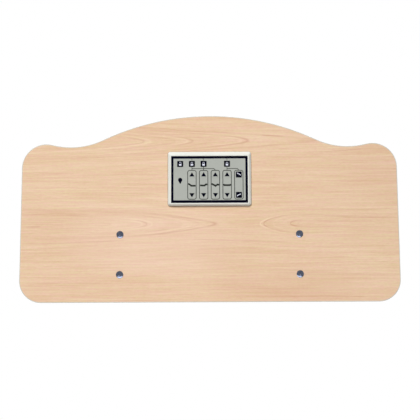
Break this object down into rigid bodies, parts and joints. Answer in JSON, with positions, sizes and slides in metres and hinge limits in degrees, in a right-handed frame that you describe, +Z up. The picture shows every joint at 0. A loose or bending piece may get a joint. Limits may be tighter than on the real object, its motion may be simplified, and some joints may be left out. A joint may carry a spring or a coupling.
{
  "type": "bed head panel",
  "caption": "Wood-decor bed head panel with a camelback top, pale edging, domed frame fixings and a recessed keypad control for the bed's functions.",
  "frame": {"origin": "centre of the rectangle of four fixing holes, on the board's back face", "axes": "+X to the right as seen from the front, +Y towards the bed frame at the back, +Z up"},
  "size_m": [0.95, 0.027, 0.4714],
  "materials": {
    "wood_decor": "satin beech decor with a fine horizontal grain",
    "edging": "satin pale grey edging",
    "fixing_metal": "dark polished finish",
    "housing": "fine textured light grey moulding",
    "rear_housing": "fine textured light grey moulding",
    "keypad": "printed grey film with a dark blue border",
    "seal": "soft black foam",
    "circuit": "green solder mask",
    "chip": "matt black",
    "switch": "matt black",
    "switch_stem": "matt dark grey",
    "key": "matt light grey",
    "screw_steel": "zinc plated",
    "light": "clear yellow lens",
    "socket": "matt black",
    "pin_metal": "bright",
    "light_guide": "clear"
  },
  "bodies": {
    "panel": {"board": "wood_decor", "edge_band": "edging", "sleeve_nuts": "fixing_metal", "control_bezel": "housing", "rear_cover": "rear_housing", "keypad_film": "keypad", "bezel_gasket": "seal", "rear_gasket": "seal", "circuit_board": "circuit", "driver_chip": "chip", "switch_bodies": "switch", "circuit_screws": "screw_steel", "cover_screws": "screw_steel", "status_leds": "light", "light_guides": "light_guide", "cable_socket": "socket", "socket_pins": "pin_metal"},
    "lock_handset_key": {"key_lock_handset": "key", "stem_lock_handset": "switch_stem"},
    "lock_back_key": {"key_lock_back": "key", "stem_lock_back": "switch_stem"},
    "lock_legs_key": {"key_lock_legs": "key", "stem_lock_legs": "switch_stem"},
    "lock_height_key": {"key_lock_height": "key", "stem_lock_height": "switch_stem"},
    "back_up_key": {"key_back_up": "key", "stem_back_up": "switch_stem"},
    "back_down_key": {"key_back_down": "key", "stem_back_down": "switch_stem"},
    "legs_up_key": {"key_legs_up": "key", "stem_legs_up": "switch_stem"},
    "legs_down_key": {"key_legs_down": "key", "stem_legs_down": "switch_stem"},
    "both_up_key": {"key_both_up": "key", "stem_both_up": "switch_stem"},
    "both_down_key": {"key_both_down": "key", "stem_both_down": "switch_stem"},
    "height_up_key": {"key_height_up": "key", "stem_height_up": "switch_stem"},
    "height_down_key": {"key_height_down": "key", "stem_height_down": "switch_stem"},
    "tilt_feet_down_key": {"key_tilt_feet_down": "key", "stem_tilt_feet_down": "switch_stem"},
    "tilt_head_down_key": {"key_tilt_head_down": "key", "stem_tilt_head_down": "switch_stem"}
  },
  "joints": [
    {"name": "press_lock_handset", "type": "slide", "parent": "panel", "child": "lock_handset_key", "axis": [0, 1, 0], "range_m": [0, 0.0004], "stiffness_N_per_m": 2000},
    {"name": "press_lock_back", "type": "slide", "parent": "panel", "child": "lock_back_key", "axis": [0, 1, 0], "range_m": [0, 0.0004], "stiffness_N_per_m": 2000},
    {"name": "press_lock_legs", "type": "slide", "parent": "panel", "child": "lock_legs_key", "axis": [0, 1, 0], "range_m": [0, 0.0004], "stiffness_N_per_m": 2000},
    {"name": "press_lock_height", "type": "slide", "parent": "panel", "child": "lock_height_key", "axis": [0, 1, 0], "range_m": [0, 0.0004], "stiffness_N_per_m": 2000},
    {"name": "press_back_up", "type": "slide", "parent": "panel", "child": "back_up_key", "axis": [0, 1, 0], "range_m": [0, 0.0004], "stiffness_N_per_m": 2000},
    {"name": "press_back_down", "type": "slide", "parent": "panel", "child": "back_down_key", "axis": [0, 1, 0], "range_m": [0, 0.0004], "stiffness_N_per_m": 2000},
    {"name": "press_legs_up", "type": "slide", "parent": "panel", "child": "legs_up_key", "axis": [0, 1, 0], "range_m": [0, 0.0004], "stiffness_N_per_m": 2000},
    {"name": "press_legs_down", "type": "slide", "parent": "panel", "child": "legs_down_key", "axis": [0, 1, 0], "range_m": [0, 0.0004], "stiffness_N_per_m": 2000},
    {"name": "press_both_up", "type": "slide", "parent": "panel", "child": "both_up_key", "axis": [0, 1, 0], "range_m": [0, 0.0004], "stiffness_N_per_m": 2000},
    {"name": "press_both_down", "type": "slide", "parent": "panel", "child": "both_down_key", "axis": [0, 1, 0], "range_m": [0, 0.0004], "stiffness_N_per_m": 2000},
    {"name": "press_height_up", "type": "slide", "parent": "panel", "child": "height_up_key", "axis": [0, 1, 0], "range_m": [0, 0.0004], "stiffness_N_per_m": 2000},
    {"name": "press_height_down", "type": "slide", "parent": "panel", "child": "height_down_key", "axis": [0, 1, 0], "range_m": [0, 0.0004], "stiffness_N_per_m": 2000},
    {"name": "press_tilt_feet_down", "type": "slide", "parent": "panel", "child": "tilt_feet_down_key", "axis": [0, 1, 0], "range_m": [0, 0.0004], "stiffness_N_per_m": 2000},
    {"name": "press_tilt_head_down", "type": "slide", "parent": "panel", "child": "tilt_head_down_key", "axis": [0, 1, 0], "range_m": [0, 0.0004], "stiffness_N_per_m": 2000}
  ]
}
